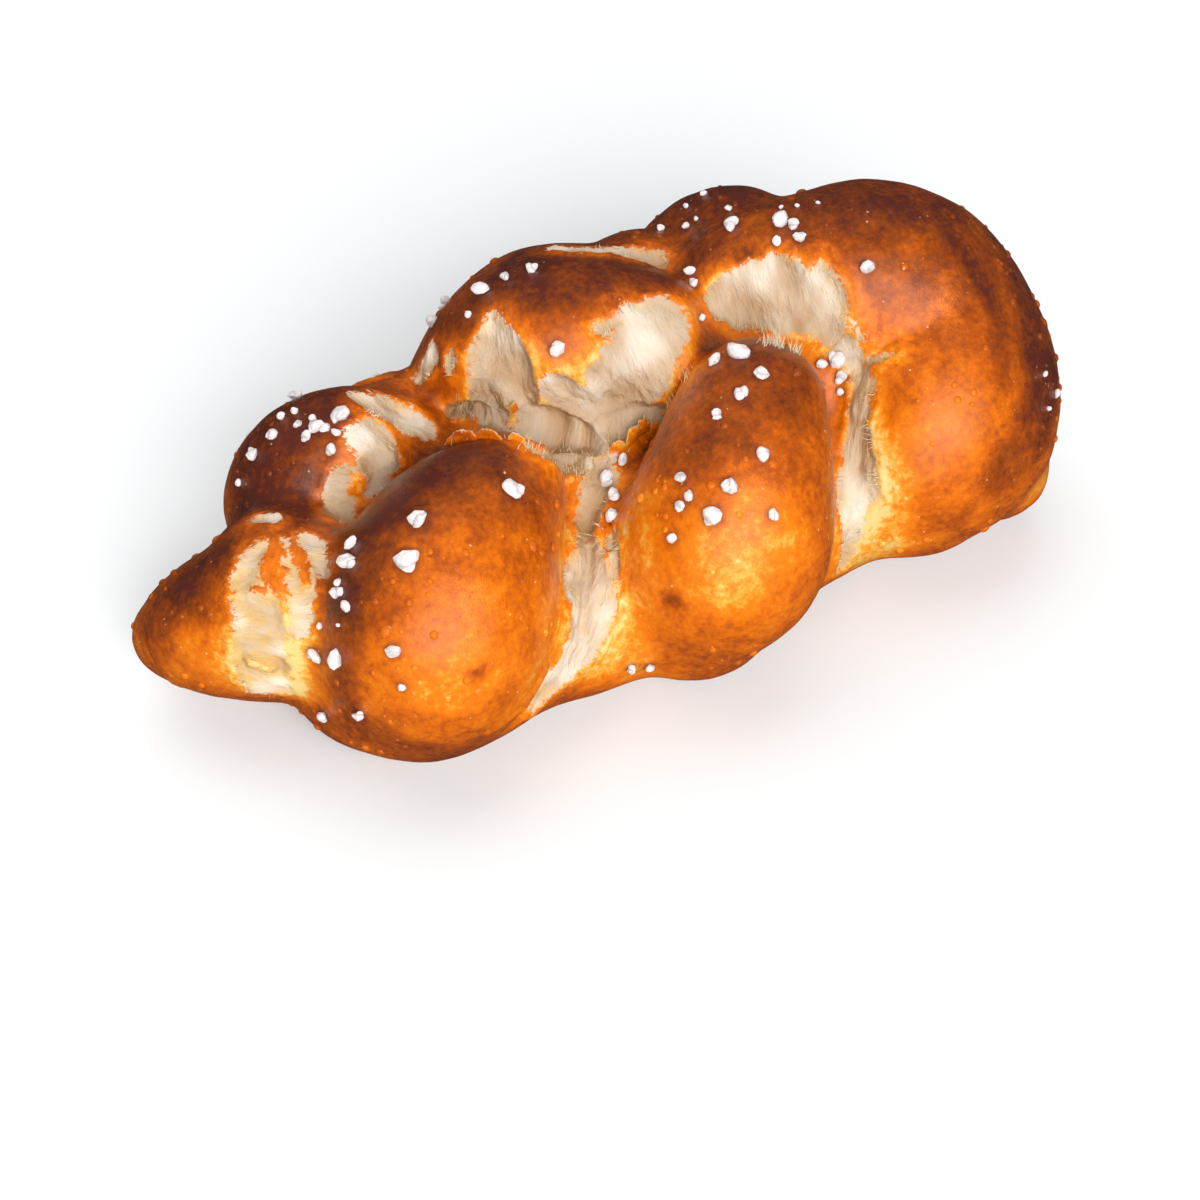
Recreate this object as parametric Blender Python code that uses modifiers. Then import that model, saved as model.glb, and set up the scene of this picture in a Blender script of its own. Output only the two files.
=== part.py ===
"""A braided pretzel loaf: one piece of baked dough, plaited from thick strands that swelled in the oven.

The loaf lies along X with its pointed end at -X, and stands on its flat base at z = 0. Each strand that rises
out of the plait is a swollen roll of dough, laid along a smooth path and rounded at both ends. Torn crumb fills
the splits between the strands. The rolls are fused into one body, which the tray then cuts flat underneath.
"""

import math

import bmesh
import bpy
import numpy as np

MM = 0.001

# Strands: the knots of each path, from its crown down to its belly, as x, y, height and radius in millimetres.
STRANDS = {
    "nose": [(-53, -3, 22, 13.5), (-60, 1, 21, 13), (-67, 8, 17, 12), (-73, 14, 13, 7.5)],
    "back_left": [(-36, 17, 33, 11.5), (-41, 19, 30, 13), (-42, 21, 21, 15), (-38, 20, 13, 16)],
    "front_left": [(-22, -8, 34, 11.5), (-33, -13, 31, 16.5), (-41, -18, 25, 19.5), (-42, -15, 16, 19)],
    "front_left_lip": [(-25, -23, 18, 10), (-33, -22, 11, 10), (-42, -19, 9, 10)],
    "crown": [(15, 3, 42, 13), (7, 10, 42, 14.5), (-1, 17, 39, 14.5), (-7, 20, 34, 11.5)],
    "back_middle": [(14, 15, 38, 15), (7, 21, 35, 16.5), (2, 26, 24, 17.5), (-1, 25, 15, 18.5)],
    "front_middle": [(21, -21, 41, 12.5), (14, -27, 34, 16), (8, -31, 26, 18), (6, -27, 16, 17),
                     (5, -27, 9, 14)],
    "shoulder": [(37, 5, 44, 11), (47, 0, 42, 16), (61, -6, 38, 20.5), (65, -15, 32, 19.5), (57, -27, 25, 18),
                 (50, -27, 17, 15)],
    "back_right": [(45, 15, 43, 11), (43, 20, 39, 11.5), (42, 25, 26, 14.5), (41, 25, 16, 17.5)],
    "shoulder_under": [(66, -9, 36, 16.5), (69, -18, 30, 17), (63, -26, 22, 19), (56, -26, 14, 16)],
    "tail": [(73, -21, 18, 14), (71, -31, 10, 10)],
    "end_back": [(66, 6, 26, 17), (64, 12, 18, 17), (60, 12, 14, 16)],
}
# Crumb that fills the splits between the strands, in the same terms.
CRUMB = {
    "crown_flank": [(21, 2, 37, 9), (12, 3, 34, 12), (4, 10, 32, 13), (-3, 19, 31, 11)],
    "crown_end": [(24, 1, 36, 10), (31, -7, 35, 9), (29, -14, 29, 9)],
    "valley": [(17, 1, 28, 10), (7, 4, 24, 11), (-1, 9, 23, 11), (-7, 18, 24, 11)],
    "front_split": [(2, -5, 26, 9), (-5, -14, 20, 10), (-11, -20, 14, 11), (-15, -20, 8, 11)],
    "right_split": [(50, -11, 34, 8), (46, -20, 26, 8), (41, -24, 18, 8), (38, -24, 10, 9)],
    "shoulder_band": [(33, 4, 42, 8), (40, -1, 43, 9.5), (46, -6, 40, 9.5)],
    "nose_band": [(-51, 10, 22, 12), (-58, 2, 23, 14), (-60, 3, 16, 12)],
    "back_left_flank": [(-25, 23, 26, 11), (-28, 18, 27, 12), (-35, 14, 23, 12)],
    "back_left_split": [(-18, 24, 24, 11), (-19, 23, 12, 13)],
    "back_right_split": [(26, 19, 39, 11), (23, 25, 26, 12), (21, 26, 12, 13)],
}
# The dough inside, along the middle of the plait and along its base.
HEART = {
    "middle": [(-52, 6, 15, 13), (-25, 4, 16, 18), (10, 4, 17, 19), (45, 0, 19, 24), (58, -4, 18, 22)],
    "base_middle": [(-50, 2, 8, 12), (-15, -2, 8, 14), (20, -3, 9, 15), (52, -2, 9, 15)],
    "base_front": [(-48, -10, 12, 15), (-20, -16, 12, 16), (10, -20, 12, 16), (50, -16, 13, 18)],
    "base_back": [(-42, 12, 12, 15), (-15, 18, 12, 16), (15, 20, 12, 16), (52, 14, 13, 17)],
}

PATH_STEP = 2.0 * MM  # spacing of the rings along a roll
CAP_RINGS = 5  # rings that round off each end of a roll
RING_POINTS = 5  # bevel resolution of a roll
FUSE_SIZE = 1.3 * MM  # cell size at which the rolls are fused
SOFTEN_PASSES = 3  # smoothing of the creases after fusing
FACES_KEPT = 0.12  # share of the fused faces that the finished body keeps
TRAY_SIZE = 0.4  # side of the block that stands for the baking tray
TRAY_DEPTH = 0.05
CRUST_COLOUR = (0.42, 0.13, 0.025, 1.0)
CRUST_ROUGHNESS = 0.35


def clear_scene():
    for obj in list(bpy.data.objects):
        bpy.data.objects.remove(obj, do_unlink=True)


def new_collection(name):
    collection = bpy.data.collections.new(name)
    bpy.context.scene.collection.children.link(collection)
    return collection


def crust_material():
    material = bpy.data.materials.new("browned_crust")
    material.use_nodes = True
    shader = material.node_tree.nodes["Principled BSDF"]
    shader.inputs["Base Color"].default_value = CRUST_COLOUR
    shader.inputs["Roughness"].default_value = CRUST_ROUGHNESS
    shader.inputs["Metallic"].default_value = 0.0
    return material


def smooth_path(knots):
    """Rings along a Catmull-Rom curve through the knots, as rows of x, y, z and radius in metres."""
    knots = np.array(knots, float) * MM
    ends = np.vstack([2 * knots[0] - knots[1], knots, 2 * knots[-1] - knots[-2]])
    rings = []
    for before, start, end, after in zip(ends, ends[1:], ends[2:], ends[3:]):
        count = max(2, round(np.linalg.norm((end - start)[:3]) / PATH_STEP))
        for t in np.linspace(0, 1, count, endpoint=False):
            rings.append(0.5 * (2 * start + (end - before) * t + (2 * before - 5 * start + 4 * end - after) * t**2
                                + (3 * start - before - 3 * end + after) * t**3))
    return np.array(rings + [knots[-1]])


def rounded_ends(rings):
    """The rings with a dome of shrinking rings added past each end."""
    def dome(last, inner):
        out = last[:3] - inner[:3]
        out /= np.linalg.norm(out)
        angles = [math.radians(88) * (i + 1) / CAP_RINGS for i in range(CAP_RINGS)]
        return [np.append(last[:3] + out * last[3] * math.sin(a), last[3] * math.cos(a)) for a in angles]

    return np.array(dome(rings[0], rings[1])[::-1] + list(rings) + dome(rings[-1], rings[-2]))


def roll(name, knots):
    """One roll of dough: a bevelled curve along the path, as thick as each ring."""
    rings = rounded_ends(smooth_path(knots))
    curve = bpy.data.curves.new(name, "CURVE")
    curve.dimensions = "3D"
    curve.bevel_depth = 1.0
    curve.bevel_resolution = RING_POINTS
    curve.use_fill_caps = True
    curve.twist_mode = "MINIMUM"
    spline = curve.splines.new("POLY")
    spline.points.add(len(rings) - 1)
    for point, ring in zip(spline.points, rings):
        point.co = (*ring[:3], 1.0)
        point.radius = ring[3]
    return bpy.data.objects.new(name, curve)


def add_mesh_of(obj, body):
    """Adds a curve's evaluated mesh, with its caps welded, to the bmesh, and removes the curve."""
    bpy.context.scene.collection.objects.link(obj)
    graph = bpy.context.evaluated_depsgraph_get()
    mesh = bpy.data.meshes.new_from_object(obj.evaluated_get(graph))
    piece = bmesh.new()
    piece.from_mesh(mesh)
    bmesh.ops.remove_doubles(piece, verts=piece.verts, dist=0.01 * MM)
    bmesh.ops.recalc_face_normals(piece, faces=piece.faces)
    piece.to_mesh(mesh)
    piece.free()
    body.from_mesh(mesh)
    bpy.data.meshes.remove(mesh)
    bpy.data.objects.remove(obj, do_unlink=True)


def tray(collection):
    """The block under the loaf that bakes its base flat."""
    bpy.ops.mesh.primitive_cube_add(size=1.0, location=(0, 0, -TRAY_DEPTH / 2))
    block = bpy.context.object
    block.name = "tray_block"
    block.scale = (TRAY_SIZE, TRAY_SIZE, TRAY_DEPTH)
    bpy.ops.object.transform_apply(location=True, rotation=False, scale=True)
    for user in list(block.users_collection):
        user.objects.unlink(block)
    collection.objects.link(block)
    block.hide_render = True
    block.display_type = "WIRE"
    return block


def centred(body):
    """Moves the rolls so that the loaf's box is centred over the origin, and keeps their heights."""
    above = np.array([v.co for v in body.verts if v.co.z > 0])
    middle = (above.min(0) + above.max(0)) / 2
    bmesh.ops.translate(body, verts=body.verts, vec=(-middle[0], -middle[1], 0))


def loaf(collection, cutter):
    body = bmesh.new()
    for name, knots in {**STRANDS, **CRUMB, **HEART}.items():
        add_mesh_of(roll(name, knots), body)
    centred(body)
    mesh = bpy.data.meshes.new("loaf")
    body.to_mesh(mesh)
    body.free()
    obj = bpy.data.objects.new("loaf", mesh)
    collection.objects.link(obj)
    mesh.materials.append(crust_material())

    fuse = obj.modifiers.new("fuse", "REMESH")
    fuse.mode = "VOXEL"
    fuse.voxel_size = FUSE_SIZE
    fuse.use_smooth_shade = True

    soften = obj.modifiers.new("soften", "SMOOTH")
    soften.factor = 0.5
    soften.iterations = SOFTEN_PASSES

    coarsen = obj.modifiers.new("coarsen", "DECIMATE")
    coarsen.ratio = FACES_KEPT

    flatten = obj.modifiers.new("flatten", "BOOLEAN")
    flatten.operation = "DIFFERENCE"
    flatten.solver = "EXACT"
    flatten.object = cutter
    return obj


def main():
    clear_scene()
    parts = new_collection("braided_pretzel_loaf")
    cutters = new_collection("cutters")
    loaf(parts, tray(cutters))


main()
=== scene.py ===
from itertools import product

import bmesh
import bpy
import numpy as np
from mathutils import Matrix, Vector
from mathutils.bvhtree import BVHTree
from numpy.linalg import norm


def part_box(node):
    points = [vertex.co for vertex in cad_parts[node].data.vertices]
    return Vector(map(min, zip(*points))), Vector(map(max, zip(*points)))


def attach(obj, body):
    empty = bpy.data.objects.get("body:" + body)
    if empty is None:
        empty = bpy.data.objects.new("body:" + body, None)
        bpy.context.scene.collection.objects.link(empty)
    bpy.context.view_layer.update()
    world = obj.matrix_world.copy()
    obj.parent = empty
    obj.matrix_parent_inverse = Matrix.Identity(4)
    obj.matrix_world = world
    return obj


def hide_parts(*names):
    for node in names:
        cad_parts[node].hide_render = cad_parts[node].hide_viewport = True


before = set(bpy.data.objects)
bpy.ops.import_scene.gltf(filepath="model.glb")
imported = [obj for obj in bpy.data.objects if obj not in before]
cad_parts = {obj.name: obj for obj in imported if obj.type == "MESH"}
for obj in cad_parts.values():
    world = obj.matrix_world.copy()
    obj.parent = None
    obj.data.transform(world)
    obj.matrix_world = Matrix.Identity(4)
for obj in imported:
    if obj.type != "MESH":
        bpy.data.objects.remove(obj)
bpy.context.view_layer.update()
mm = 0.001               # the tables are in millimetres, apart from those of the lights and the floor
print("frame loaded")

# The dough, as in the CAD model: knots of each roll from its crown to its belly, as x, y, height, radius.
dough = {
    "nose": [(-53, -3, 22, 13.5), (-60, 1, 21, 13), (-67, 8, 17, 12), (-73, 14, 13, 7.5)],
    "backLeft": [(-36, 17, 33, 11.5), (-41, 19, 30, 13), (-42, 21, 21, 15), (-38, 20, 13, 16)],
    "frontLeft": [(-22, -8, 34, 11.5), (-33, -13, 31, 16.5), (-41, -18, 25, 19.5), (-42, -15, 16, 19)],
    "frontLeftLip": [(-25, -23, 18, 10), (-33, -22, 11, 10), (-42, -19, 9, 10)],
    "crown": [(15, 3, 42, 13), (7, 10, 42, 14.5), (-1, 17, 39, 14.5), (-7, 20, 34, 11.5)],
    "backMiddle": [(14, 15, 38, 15), (7, 21, 35, 16.5), (2, 26, 24, 17.5), (-1, 25, 15, 18.5)],
    "frontMiddle": [(21, -21, 41, 12.5), (14, -27, 34, 16), (8, -31, 26, 18), (6, -27, 16, 17),
                    (5, -27, 9, 14)],
    "shoulder": [(37, 5, 44, 11), (47, 0, 42, 16), (61, -6, 38, 20.5), (65, -15, 32, 19.5),
                 (57, -27, 25, 18), (50, -27, 17, 15)],
    "backRight": [(45, 15, 43, 11), (43, 20, 39, 11.5), (42, 25, 26, 14.5), (41, 25, 16, 17.5)],
    "shoulderUnder": [(66, -9, 36, 16.5), (69, -18, 30, 17), (63, -26, 22, 19), (56, -26, 14, 16)],
    "tail": [(73, -21, 18, 14), (71, -31, 10, 10)],
    "endBack": [(66, 6, 26, 17), (64, 12, 18, 17), (60, 12, 14, 16)],
    "crownFlank": [(21, 2, 37, 9), (12, 3, 34, 12), (4, 10, 32, 13), (-3, 19, 31, 11)],
    "crownEnd": [(24, 1, 36, 10), (31, -7, 35, 9), (29, -14, 29, 9)],
    "valley": [(17, 1, 28, 10), (7, 4, 24, 11), (-1, 9, 23, 11), (-7, 18, 24, 11)],
    "frontSplit": [(2, -5, 26, 9), (-5, -14, 20, 10), (-11, -20, 14, 11), (-15, -20, 8, 11)],
    "rightSplit": [(50, -11, 34, 8), (46, -20, 26, 8), (41, -24, 18, 8), (38, -24, 10, 9)],
    "shoulderBand": [(33, 4, 42, 8), (40, -1, 43, 9.5), (46, -6, 40, 9.5)],
    "noseBand": [(-51, 10, 22, 12), (-58, 2, 23, 14), (-60, 3, 16, 12)],
    "backLeftFlank": [(-25, 23, 26, 11), (-28, 18, 27, 12), (-35, 14, 23, 12)],
    "backLeftSplit": [(-18, 24, 24, 11), (-19, 23, 12, 13)],
    "backRightSplit": [(26, 19, 39, 11), (23, 25, 26, 12), (21, 26, 12, 13)],
    "middle": [(-52, 6, 15, 13), (-25, 4, 16, 18), (10, 4, 17, 19), (45, 0, 19, 24), (58, -4, 18, 22)],
    "baseMiddle": [(-50, 2, 8, 12), (-15, -2, 8, 14), (20, -3, 9, 15), (52, -2, 9, 15)],
    "baseFront": [(-48, -10, 12, 15), (-20, -16, 12, 16), (10, -20, 12, 16), (50, -16, 13, 18)],
    "baseBack": [(-42, 12, 12, 15), (-15, 18, 12, 16), (15, 20, 12, 16), (52, 14, 13, 17)],
}

# Where the crust tore open: the middle line of each tear as x, y, height and half width, then the way its
# fibres run, how golden its crumb is and how deep it lies. Every line in these tables is laid onto the skin.
tears = {
    "crownLeft": ([(-8, 14, 51, 1), (-9, 11, 48, 4), (-10, 8, 44, 6), (-11, 7, 40, 6)],
                  (-.5, -.5, -.7), 0, 1.8),
    "crownRight": ([(16, -4, 52, 3), (14, -5, 52, 5), (9, -6, 49, 6.5), (5, -6, 44, 6.5), (0, -3, 41, 5.5),
                    (-4, 1, 43, 3)], (0, -.65, -.75), 0, 1.3),
    "crownTop": ([(5, 0, 52, 1), (11, -1, 53, 2)], (0, -.65, -.75), .2, .8),
    "valley": ([(-18, 13, 36, 1.5), (-13, 8, 37, 3), (-8, 3, 36, 4), (-4, -2, 35, 4.5), (-2, -6, 35, 3)],
               (-.3, -.6, -.7), 0, 3.6),
    "valleyRight": ([(2, -6, 37, 3.5), (5, -8, 38, 3.5), (9, -9, 38, 2.5)], (-.1, -.6, -.75), 0, 2.4),
    "valleyRim": ([(-17, -9, 43, 1), (-14, -11, 40, 1.5), (-7, -6, 34, 3), (-4, -9, 33, 2)],
                  (-.3, -.4, -.8), .2, 1),
    "frontSplitTop": ([(-3, -10, 33, 2.5), (-5, -13, 32, 3), (-9, -16, 30, 2.5), (-12, -19, 29, 2)],
                      (-.55, -.45, -.7), .5, .9),
    "frontSplit": ([(-13, -21, 28, 2), (-15, -25, 26, 4), (-17, -28, 24, 5), (-20, -31, 21, 5),
                    (-23, -33, 18, 4), (-27, -33, 15, 2.5), (-30, -34, 12, 1.5), (-32, -33, 10, 1)],
                   (-.55, -.45, -.7), .35, 1.2),
    "frontSplitRight": ([(-8, -22, 29, 1), (-10, -25, 27, 1), (-13, -29, 24, 1.5)],
                        (-.55, -.45, -.7), .4, 1),
    "shoulderBand": ([(27, -2, 48, 2.5), (32, -5, 50, 6), (38, -9, 50, 7), (41, -13, 49, 5),
                      (41, -16, 45, 2)], (-.2, -.7, -.7), .1, 1.6),
    "rightSplitTop": ([(44, -18, 42, 2), (44, -21, 38, 2), (41, -25, 34, 2.5)], (-.45, -.55, -.7), .3, 1),
    "rightSplit": ([(39, -27, 32, 2), (38, -29, 29, 3), (36, -32, 24, 3.5), (34, -34, 19, 2.5),
                    (33, -35, 15, 2), (32, -35, 10, 1)], (-.45, -.55, -.7), .3, 1.3),
    "starCrack": ([(46, -21, 40, 1), (49, -24, 42, .5)], (.7, -.7, -.1), .6, .6),
    "starCrackUp": ([(46, -19, 44, 1), (45, -17, 47, .5)], (.1, .6, .8), .6, .6),
    "noseBandLow": ([(-66, -5, 32, 4), (-67, -7, 28, 4.5), (-68, -8, 23, 5), (-68, -9, 18, 3.5)],
                    (.7, -.7, -.15), 1, .7),
    "noseBandTop": ([(-60, 2, 37, 1), (-63, 0, 36, 2.5), (-66, -1, 34, 2)], (.75, -.65, -.15), .6, .8),
    "noseStripe": ([(-57, 0, 37, 1), (-59, -4, 36, 1)], (.4, -.8, -.4), .5, .7),
    "noseMiddle": ([(-58, -6, 35, 2), (-60, -9, 33, 2), (-62, -11, 29, 1.5)], (.7, -.7, -.2), .5, .8),
    "nosePetal": ([(-54, -2, 37, 2.5), (-55, -5, 36, 2), (-55, -8, 35, 1)], (.7, -.7, -.2), .1, 1),
    "backLeftFlank": ([(-37, 10, 42, 3), (-35, 8, 40, 4), (-37, 6, 37, 3), (-38, 5, 35, 1.5)],
                      (.6, -.75, -.3), .1, 1.2),
    "backLeftPatch": ([(-42, 8, 37, 2.5), (-44, 6, 35, 2.5), (-44, 4, 33, 2.5)], (.6, -.75, -.3), .1, 1),
    "backLeftStrip": ([(-58, 8, 36, 1), (-56, 6, 37, 1.5)], (.7, -.7, -.1), .1, 1),
    "backLeftSplit": ([(-33, 16, 44, 2), (-30, 14, 42, 3.5), (-27, 13, 39, 4), (-23, 11, 37, 2)],
                      (.7, -.6, -.4), 0, 1.8),
    "crownSide": ([(-17, 21, 42, 2.5), (-19, 22, 39, 2)], (-.5, -.3, -.8), 0, 1),
    "crownLeaf": ([(-15, 17, 44, 1), (-16, 16, 42, 1)], (-.5, -.3, -.8), .6, .5),
    "backSplit": ([(10, 22, 52, 1), (16, 17, 53, 1.5), (21, 15, 51, 2.5), (26, 14, 49, 2)],
                  (.6, -.2, -.75), 0, 1),
    "backLeftLow": ([(-24, 30, 32, 3), (-21, 34, 24, 4), (-20, 35, 14, 3)], (.1, .5, -.85), .3, 1.4),
    "backRightLow": ([(26, 31, 34, 2), (22, 36, 26, 4), (20, 37, 16, 3.5)], (.1, .5, -.85), .3, 1.4),
    "endSplit": ([(57, 17, 36, 2), (58, 24, 26, 3), (57, 27, 14, 2)], (.4, .6, -.7), .4, 1.4),
}
# Tongues and flakes of crust left inside the tears.
flakes = {
    "crownTongue": [(-3, 3, 50, 2), (-2, 0, 48, 2), (-1, -2, 45, 1)],
    "crownNick": [(3, -1, 51, 1), (5, -2, 51, .5)],
    "noseLeaf": [(-57, 2, 37, .5), (-60, -1, 37, 1.5), (-62, -3, 36, 2), (-62, -6, 33, 1)],
    "noseRib": [(-56, 0, 37, .5), (-57, -4, 36, 1), (-58, -8, 35, 1)],
    "noseSpot": [(-65, -3, 33, .5), (-64, -4, 33, 1)],
    "noseFreckle": [(-69, -7, 23, .5), (-67, -9, 22, .5)],
    "flankPatch": [(-40, 7, 37, 1), (-41, 5, 36, 1.5)],
    "flankRidge": [(-50, 5, 36, 1), (-47, 3, 35, 1.5)],
    "crownPatch": [(-22, 17, 38, 1.5), (-17, 15, 40, 2)],
    "valleySliver": [(-10, 6, 38, .5), (-11, 4, 37, 1)],
}
# Parts of the loaf that baked lighter or darker than the way they face alone would give; the two paler
# bellies marked below are partly a painted highlight.
tones = {
    "noseCrown": ([(-79, 9, 21, 2), (-75, 10, 26, 2), (-67, 6, 33, 2)], .2),
    "nosePale": ([(-77, 4, 20, 3), (-72, -3, 25, 3)], -.1),
    "noseBandSkin": ([(-62, -12, 29, 3), (-64, -14, 20, 3)], -.35),
    "backLeftCap": ([(-57, 19, 32, 3), (-51, 22, 39, 3), (-44, 20, 43, 3), (-36, 18, 45, 2)], .25),
    "backLeftMiddle": ([(-50, 13, 38, 3), (-45, 12, 40, 3)], .15),
    "backLeftFront": ([(-47, 9, 36, 2), (-56, 6, 37, 2)], .2),
    "frontLeftCrown": ([(-24, 6, 36, 3), (-34, -2, 44, 4), (-45, -7, 42, 3), (-54, -13, 38, 2)], .25),
    "frontLeftRim": ([(-40, -13, 47, 2.5), (-30, -10, 47, 2.5), (-22, -11, 45, 2)], .15),
    # paler belly: partly baked lighter, partly a painted highlight where the key light's sheen lies
    "frontLeftBellyHighlight": ([(-42, -24, 45, 6), (-36, -31, 40, 6), (-44, -34, 36, 5)], -.13),
    "frontLeftFlank": ([(-57, -16, 32, 3), (-61, -20, 20, 3), (-56, -27, 12, 3), (-48, -32, 7, 3)], .2),
    "frontLeftEdge": ([(-15, -19, 30, 3), (-25, -29, 29, 2.5), (-31, -35, 24, 2), (-38, -37, 16, 1.5)],
                      -.22),
    "frontLeftShoulder": ([(-17, -13, 42, 2), (-14, -12, 39, 2)], -.1),
    "crownCap": ([(-8, 18, 51, 3), (0, 14, 55, 4), (9, 7, 56, 4), (20, 5, 53, 3)], .2),
    "crownBack": ([(4, 23, 53, 3), (18, 21, 51, 3), (28, 10, 49, 3)], .2),
    "crownSideSkin": ([(-14, 24, 43, 2), (-17, 20, 40, 2.5)], .3),
    "bandEnd": ([(27, 3, 50, 2), (23, -3, 50, 2.5), (24, -6, 47, 1.5)], -.2),
    "bandCrease": ([(25, -6, 47, 1), (20, -11, 49, 1)], .25),
    "frontMiddleTop": ([(20, -19, 53, 3), (15, -28, 51, 4), (8, -33, 47, 3)], .05),
    # paler belly: partly baked lighter, partly a painted highlight where the key light's sheen lies
    "frontMiddleBellyHighlight": ([(-6, -33, 37, 4.5), (-3, -41, 35, 4.5), (4, -42, 40, 4)], -.2),
    "frontMiddleEdge": ([(-6, -25, 35, 2.5), (-11, -31, 27, 3), (-12, -35, 15, 3)], -.2),
    "frontMiddleToe": ([(-17, -34, 11, 2.5), (-8, -34, 5, 2)], -.2),
    "shoulderEdge": ([(42, -31, 32, 1.5), (41, -35, 26, 2), (39, -37, 17, 2.5), (38, -36, 8, 2)], -.3),
    "shoulderFoot": ([(42, -38, 10, 2), (47, -40, 12, 1.5)], -.15),
    "shoulderSide": ([(79, -18, 45, 3), (77, -31, 40, 3), (70, -41, 32, 3), (60, -46, 27, 2.5)], .25),
    "shoulderTop": ([(54, 1, 59, 3), (65, -8, 58, 3), (70, -19, 53, 3)], .15),
    "shoulderFront": ([(50, -17, 52, 3), (52, -22, 48, 3), (61, -24, 51, 3)], .05),
    "shoulderBelly": ([(52, -30, 44, 5), (50, -35, 39, 4.5), (60, -37, 40, 4)], -.15),
    "shoulderStreak": ([(66, -17, 54, .5), (68, -27, 47, 1), (62, -38, 39, .5)], .15),
    "backRightTop": ([(37, 24, 48, 3), (44, 17, 54, 3)], .2),
    "tailPale": ([(71, -42, 12, 2), (77, -38, 14, 2)], -.25),
    "burstOne": ([(-45, -37, 30, .5), (-44, -37, 30, .5)], .35),
    "burstTwo": ([(-8, -38, 27, .5), (-7, -38, 27, .5)], .35),
    "burstThree": ([(34, 0, 55, .5), (35, 0, 55, .5)], .3),
}
# Thin ridges of skin, and creases where the height is below zero.
folds = {
    "noseFacet": ([(-78, 7, 20, .5), (-75, 2, 25, .5), (-70, -4, 29, .5)], .2),
    "noseTip": ([(-79, 10, 20, .5), (-79, 8, 17, .5), (-78, 6, 10, .5)], .3),
    "splitMembraneOne": ([(-8, -17, 30, .5), (-11, -22, 28, .5), (-15, -27, 25, .5), (-20, -31, 20, 1)],
                         .7),
    "splitMembraneTwo": ([(-8, -20, 30, .5), (-11, -25, 27, .5), (-15, -30, 21, 1)], .6),
    "splitMembraneThree": ([(-14, -21, 29, .5), (-19, -27, 26, 1), (-24, -31, 22, 1)], .5),
    "splitCrease": ([(-7, -18, 31, .5), (-10, -23, 28, .5)], -.9),
    "lipLine": ([(-30, -34, 20, .5), (-35, -36, 15, .5), (-42, -37, 12, .5)], .5),
    "lipCrease": ([(-29, -34, 18, .5), (-32, -34, 13, .5), (-35, -33, 9, .5)], -.6),
    "middleScar": ([(-12, -32, 26, .5), (-9, -36, 25, .5)], .3),
}

loafLook = {
    "voxel": 1.18,         # mesh size before the crumb is refined
    "seam": 1.0,           # how softly two rolls meet
    "baseSeam": 1.4,       # how softly the flanks meet the flat base
    "lumps": (.4, 16, 5),  # height of the unevenness of the crust, its size and that of the lumps on it
    "drape": (1.2, 8),     # relief and size of the broad folds of crumb
    "tufts": (.8, 4),      # relief and size of the tufts on them
    "fibres": (.2, 1.5),   # relief and width of the torn fibres
    "stretch": .86,        # how much longer than wide the fibres are: 0 is round, 1 endless
    "wander": (1.2, 7),    # how far the fibres bend, and over what length
    "fray": (1.0, 6),      # how far the rim of a tear strays, and the size of its bays
    "fineFray": (1.1, 2.4),
    "flakeFray": (.5, 2),
    "lip": (.3, .8, .7),   # the crust's curl beside a tear: its height, how far off it peaks and its width
    "foldWidth": .5,       # how far a ridge or crease reaches beside its line
    "soften": 12,          # rounds that even out the bends of the rolls
    "openOver": 8,         # crumb gets a painted shade where dough closes in this far above it
    "fineWithin": (2.2, .5),   # crust this close to a tear is refined once, then twice
}


def smoothPath(knots, step):  # rings on a Catmull-Rom curve through the knots
    knots = np.array(knots, float)
    ends = np.vstack([2 * knots[0] - knots[1], knots, 2 * knots[-1] - knots[-2]])
    rings = []
    for before, start, end, after in zip(ends, ends[1:], ends[2:], ends[3:]):
        count = max(2, round(norm((end - start)[:3]) / step))
        for share in np.linspace(0, 1, count, endpoint=False):
            rings.append(.5 * (2 * start + (end - before) * share
                               + (2 * before - 5 * start + 4 * end - after) * share**2
                               + (3 * start - before - 3 * end + after) * share**3))
    return np.array(rings + [knots[-1]])


def rollField(points, rings, margin=12):  # gap from the points to a roll's skin, and the way out
    centre = rings[:, :3].mean(0)
    reach = (norm(rings[:, :3] - centre, axis=1) + rings[:, 3]).max()
    off = norm(points - centre, axis=1) - reach
    best = np.maximum(off, margin)
    out = np.zeros_like(points)
    near = np.nonzero(off < margin)[0]
    places = points[near]
    gapNear = np.full(len(near), 1e6)
    outNear = np.zeros_like(places)
    for start, end in zip(rings, rings[1:]):
        run = end[:3] - start[:3]
        share = np.clip((places - start[:3]) @ run / (run @ run), 0, 1)
        away = places - start[:3] - share[:, None] * run
        far = norm(away, axis=1) + 1e-9
        gap = far - start[3] - share * (end[3] - start[3])
        closer = gap < gapNear
        gapNear[closer] = gap[closer]
        outNear[closer] = away[closer] / far[closer, None]
    best[near] = gapNear
    out[near] = outNear
    return best, out


doughRings = {name: smoothPath(knots, 3) for name, knots in dough.items()}


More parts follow.
